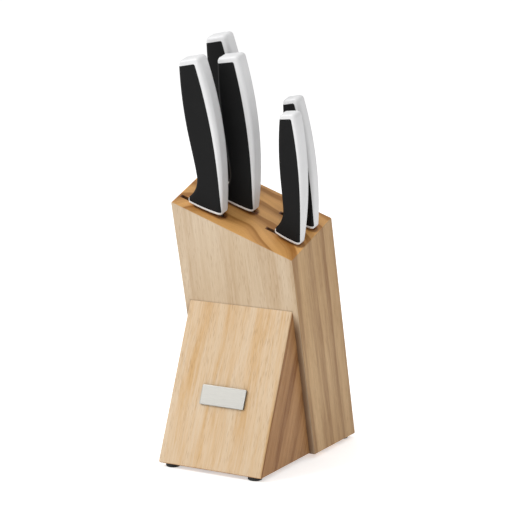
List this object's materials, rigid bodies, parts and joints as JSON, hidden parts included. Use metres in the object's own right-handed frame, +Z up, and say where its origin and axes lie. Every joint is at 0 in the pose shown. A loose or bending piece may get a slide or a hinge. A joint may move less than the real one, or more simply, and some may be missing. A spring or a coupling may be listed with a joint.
{
  "type": "knife block with knives",
  "caption": "Leaning hardwood knife block on rubber feet with a wedge-shaped front prop, holding large and small kitchen knives that lift out of its sloping top.",
  "frame": {"origin": "on the table below the middle of the whole object's footprint box", "axes": "+Z up; +Y from the front, where the wedge and plate are, to the back; +X to the right as seen from the front"},
  "size_m": [0.114, 0.156, 0.3467],
  "materials": {
    "hardwood": "oiled satin, long grain",
    "dowel_wood": "plain turned wood",
    "plate_steel": "brushed along its length",
    "pad_foam": "thin adhesive foam",
    "foot_rubber": "matte",
    "screw_steel": "zinc plated",
    "blade_steel": "fine ground, satin",
    "white_plastic": "hard plastic with a soft sheen",
    "soft_grip": "soft-touch, matte"
  },
  "bodies": {
    "block": {"front_board": "hardwood", "second_board": "hardwood", "third_board": "hardwood", "fourth_board": "hardwood", "fifth_board": "hardwood", "back_board": "hardwood", "front_wedge": "hardwood", "wedge_dowels": "dowel_wood", "name_plate": "plate_steel", "plate_adhesive_pad": "pad_foam", "foot_front_left": "foot_rubber", "foot_front_right": "foot_rubber", "foot_rear_left": "foot_rubber", "foot_rear_right": "foot_rubber", "foot_screws": "screw_steel"},
    "carving_knife": {"carving_knife_blade": "blade_steel", "carving_knife_handle": "white_plastic", "carving_knife_grip": "soft_grip"},
    "chefs_knife": {"chefs_knife_blade": "blade_steel", "chefs_knife_handle": "white_plastic", "chefs_knife_grip": "soft_grip"},
    "bread_knife": {"bread_knife_blade": "blade_steel", "bread_knife_handle": "white_plastic", "bread_knife_grip": "soft_grip"},
    "utility_knife": {"utility_knife_blade": "blade_steel", "utility_knife_handle": "white_plastic", "utility_knife_grip": "soft_grip"},
    "paring_knife": {"paring_knife_blade": "blade_steel", "paring_knife_handle": "white_plastic", "paring_knife_grip": "soft_grip"}
  },
  "joints": [
    {"name": "carving_knife_slide", "type": "slide", "parent": "block", "child": "carving_knife", "axis": [-0.0454, -0.2417, 0.9693], "range_m": [0, 0.22]},
    {"name": "chefs_knife_slide", "type": "slide", "parent": "block", "child": "chefs_knife", "axis": [0, -0.2419, 0.9703], "range_m": [0, 0.22]},
    {"name": "bread_knife_slide", "type": "slide", "parent": "block", "child": "bread_knife", "axis": [-0.0454, -0.2417, 0.9693], "range_m": [0, 0.22]},
    {"name": "utility_knife_slide", "type": "slide", "parent": "block", "child": "utility_knife", "axis": [0.0628, -0.2414, 0.9684], "range_m": [0, 0.145]},
    {"name": "paring_knife_slide", "type": "slide", "parent": "block", "child": "paring_knife", "axis": [-0.0349, -0.2418, 0.9697], "range_m": [0, 0.11]}
  ]
}
